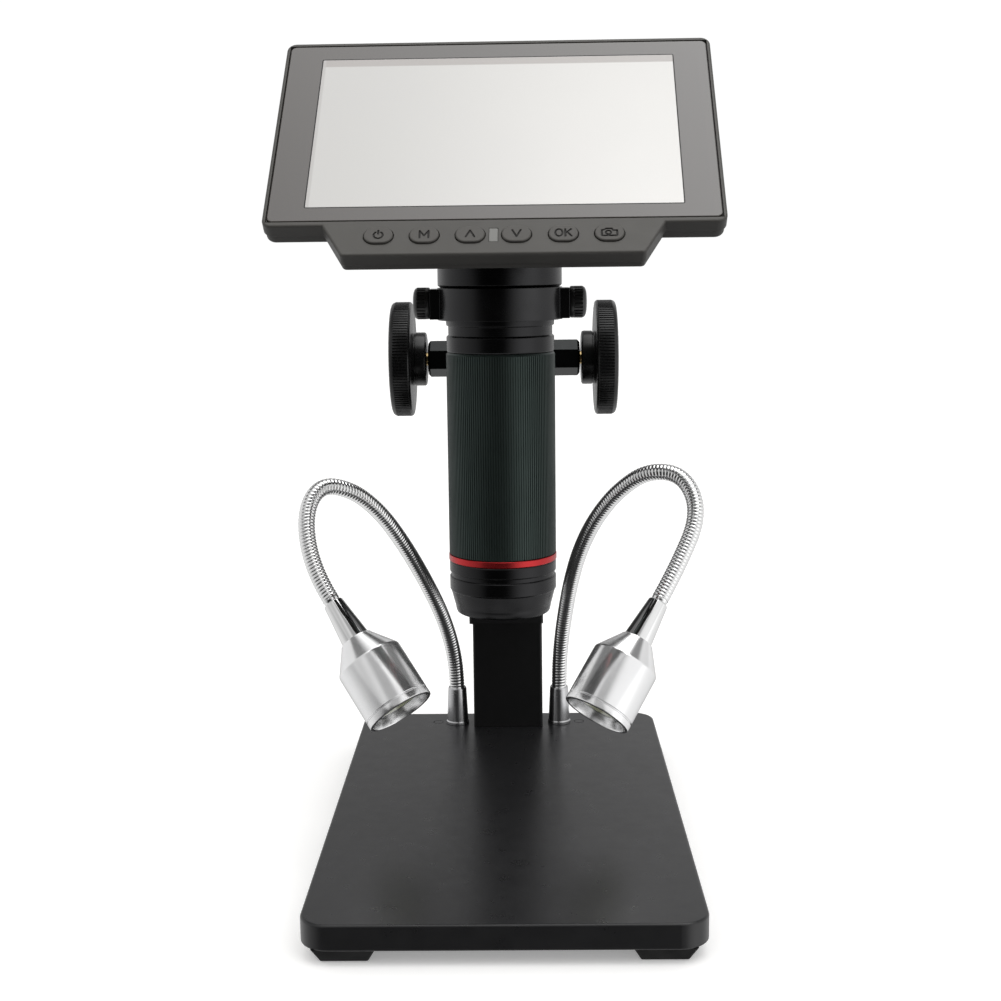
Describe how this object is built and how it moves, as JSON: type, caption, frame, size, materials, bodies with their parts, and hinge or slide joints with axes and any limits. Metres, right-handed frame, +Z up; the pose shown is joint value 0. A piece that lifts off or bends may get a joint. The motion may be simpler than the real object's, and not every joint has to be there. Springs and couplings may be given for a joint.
{
  "type": "lcd digital microscope",
  "caption": "Bench microscope with its own tilted screen on a swivelling barrel, rack-and-pinion focus, flat metal base and bendable gooseneck lamps.",
  "frame": {"origin": "centre of the object's footprint, on the plane its rubber feet stand on", "axes": "+Z up along the column, +Y from the user towards the column, +X to the user's right as they face the screen"},
  "size_m": [0.1462, 0.2, 0.2686],
  "materials": {
    "black_metal": "fine satin powder coat",
    "black_anodised": "satin black anodised, turned",
    "shell_plastic": "matte moulded black plastic",
    "button_plastic": "matte moulded black plastic with engraved marks",
    "screen_glass": "dark glass border with a blank light screen",
    "screen_panel": "blank pale screen",
    "ribbed_sleeve": "green-black anodised, finely ribbed",
    "red_anodised": "red anodised",
    "knob_black": "gloss black, knurled rim",
    "steel_screw": "zinc-plated steel",
    "brass": "bright brass",
    "rubber": "matte black rubber",
    "gooseneck_steel": "wound steel, bright",
    "turned_aluminium": "bright turned aluminium",
    "lens_glass": "clear coated glass",
    "board_green": "green circuit board",
    "nylon": "natural nylon",
    "led_board": "white board with one light-emitting die",
    "indicator": "frosted window"
  },
  "bodies": {
    "stand": {"base_plate": "black_metal", "base_cover": "black_metal", "rubber_feet": "rubber", "cover_screws": "steel_screw", "power_inlet": "steel_screw", "lamp_driver_board": "board_green", "column": "black_metal", "guide_block": "black_metal", "frame_screws": "steel_screw", "left_shaft_bearing": "black_anodised", "right_shaft_bearing": "black_anodised", "left_lamp_socket": "turned_aluminium", "right_lamp_socket": "turned_aluminium"},
    "focus_shaft": {"pinion_shaft": "brass", "left_focus_knob": "knob_black", "right_focus_knob": "knob_black"},
    "carriage": {"slide_bar": "black_metal", "focus_rack": "steel_screw", "clamp_ring": "black_anodised", "arm_screws": "steel_screw"},
    "left_tip": {"left_clamp_tip": "nylon"},
    "left_screw": {"left_thumb_screw": "knob_black"},
    "right_tip": {"right_clamp_tip": "nylon"},
    "right_screw": {"right_thumb_screw": "knob_black"},
    "microscope": {"neck_collar": "black_anodised", "barrel_tube": "black_anodised", "objective_housing": "black_anodised", "front_glass": "lens_glass", "sensor_board": "board_green", "front_shell": "shell_plastic", "rear_shell": "shell_plastic", "screen_glass": "screen_glass", "lcd_module": "screen_panel", "main_board": "board_green", "button_board": "board_green", "indicator_window": "indicator", "case_screws": "steel_screw", "side_sockets": "steel_screw"},
    "sleeve": {"focus_sleeve": "ribbed_sleeve", "red_ring": "red_anodised"},
    "lens_cell": {"lens_cell": "black_anodised", "moving_lens": "lens_glass"},
    "power_button": {"power_button": "button_plastic"},
    "menu_button": {"menu_button": "button_plastic"},
    "up_button": {"up_button": "button_plastic"},
    "down_button": {"down_button": "button_plastic"},
    "ok_button": {"ok_button": "button_plastic"},
    "capture_button": {"capture_button": "button_plastic"},
    "left_arm_lower": {"left_gooseneck_lower": "gooseneck_steel"},
    "left_arm_upper": {"left_gooseneck_upper": "gooseneck_steel"},
    "left_lamp": {"left_lamp_neck": "gooseneck_steel", "left_lamp_housing": "turned_aluminium", "left_lamp_lens": "lens_glass", "left_lamp_led": "led_board"},
    "right_arm_lower": {"right_gooseneck_lower": "gooseneck_steel"},
    "right_arm_upper": {"right_gooseneck_upper": "gooseneck_steel"},
    "right_lamp": {"right_lamp_neck": "gooseneck_steel", "right_lamp_housing": "turned_aluminium", "right_lamp_lens": "lens_glass", "right_lamp_led": "led_board"}
  },
  "joints": [
    {"name": "focus_slide", "type": "slide", "parent": "stand", "child": "carriage", "axis": [0, 0, 1], "range_m": [-0.02, 0.06]},
    {"name": "focus_knobs_turn", "type": "hinge", "parent": "stand", "child": "focus_shaft", "pos_m": [0, 0.072, 0.1635], "axis": [-1, 0, 0], "range_deg": [-273.5, 819]},
    {"name": "head_swivel", "type": "hinge", "parent": "carriage", "child": "microscope", "pos_m": [0, -0.028, 0.1875], "axis": [0, 0, 1], "continuous": true},
    {"name": "sleeve_turn", "type": "hinge", "parent": "microscope", "child": "sleeve", "pos_m": [0, -0.028, 0.14], "axis": [0, 0, 1], "range_deg": [-150, 150]},
    {"name": "lens_travel", "type": "slide", "parent": "microscope", "child": "lens_cell", "axis": [0, 0, 1], "range_m": [-0.009, 0.009]},
    {"name": "left_tip_travel", "type": "slide", "parent": "carriage", "child": "left_tip", "axis": [-1, 0, 0], "range_m": [0, 0.0007]},
    {"name": "left_screw_turn", "type": "hinge", "parent": "left_tip", "child": "left_screw", "pos_m": [-0.0245, -0.028, 0.1877], "axis": [-1, 0, 0], "range_deg": [-1, 361]},
    {"name": "right_tip_travel", "type": "slide", "parent": "carriage", "child": "right_tip", "axis": [1, 0, 0], "range_m": [0, 0.0007]},
    {"name": "right_screw_turn", "type": "hinge", "parent": "right_tip", "child": "right_screw", "pos_m": [0.0245, -0.028, 0.1877], "axis": [1, 0, 0], "range_deg": [-1, 361]},
    {"name": "power_button_press", "type": "slide", "parent": "microscope", "child": "power_button", "axis": [0.0147, 0.7151, -0.6989], "range_m": [0, 0.0008], "stiffness_N_per_m": 500, "springref_m": -0.0002},
    {"name": "menu_button_press", "type": "slide", "parent": "microscope", "child": "menu_button", "axis": [0.0147, 0.7151, -0.6989], "range_m": [0, 0.0008], "stiffness_N_per_m": 500, "springref_m": -0.0002},
    {"name": "up_button_press", "type": "slide", "parent": "microscope", "child": "up_button", "axis": [0.0147, 0.7151, -0.6989], "range_m": [0, 0.0008], "stiffness_N_per_m": 500, "springref_m": -0.0002},
    {"name": "down_button_press", "type": "slide", "parent": "microscope", "child": "down_button", "axis": [0.0147, 0.7151, -0.6989], "range_m": [0, 0.0008], "stiffness_N_per_m": 500, "springref_m": -0.0002},
    {"name": "ok_button_press", "type": "slide", "parent": "microscope", "child": "ok_button", "axis": [0.0147, 0.7151, -0.6989], "range_m": [0, 0.0008], "stiffness_N_per_m": 500, "springref_m": -0.0002},
    {"name": "capture_button_press", "type": "slide", "parent": "microscope", "child": "capture_button", "axis": [0.0147, 0.7151, -0.6989], "range_m": [0, 0.0008], "stiffness_N_per_m": 500, "springref_m": -0.0002},
    {"name": "left_lamp_swing", "type": "hinge", "parent": "stand", "child": "left_arm_lower", "pos_m": [-0.0209, 0.0873, 0.025], "axis": [0, 0, 1], "range_deg": [-45, 3]},
    {"name": "left_lamp_bend", "type": "hinge", "parent": "left_arm_lower", "child": "left_arm_upper", "pos_m": [-0.03541, 0.061, 0.08575], "axis": [0.9016, -0.4325, 0], "range_deg": [-8, 18]},
    {"name": "left_lamp_tilt", "type": "hinge", "parent": "left_arm_upper", "child": "left_lamp", "pos_m": [-0.06117, 0.0073, 0.08372], "axis": [0.6055, 0.7958, 0], "range_deg": [-10, 26]},
    {"name": "right_lamp_swing", "type": "hinge", "parent": "stand", "child": "right_arm_lower", "pos_m": [0.0209, 0.0873, 0.025], "axis": [0, 0, 1], "range_deg": [-3, 45]},
    {"name": "right_lamp_bend", "type": "hinge", "parent": "right_arm_lower", "child": "right_arm_upper", "pos_m": [0.02705, 0.06605, 0.0829], "axis": [0.9032, 0.4292, 0], "range_deg": [-8, 18]},
    {"name": "right_lamp_tilt", "type": "hinge", "parent": "right_arm_upper", "child": "right_lamp", "pos_m": [0.05464, 0.00799, 0.08277], "axis": [0.6589, -0.7522, 0], "range_deg": [-10, 26]}
  ],
  "couplings": [
    {"joint": "focus_knobs_turn", "follows": "focus_slide", "rad_per_m": 238.1},
    {"joint": "lens_travel", "follows": "sleeve_turn", "m_per_rad": 0.003369},
    {"joint": "left_screw_turn", "follows": "left_tip_travel", "rad_per_m": 8976},
    {"joint": "right_screw_turn", "follows": "right_tip_travel", "rad_per_m": 8976}
  ]
}
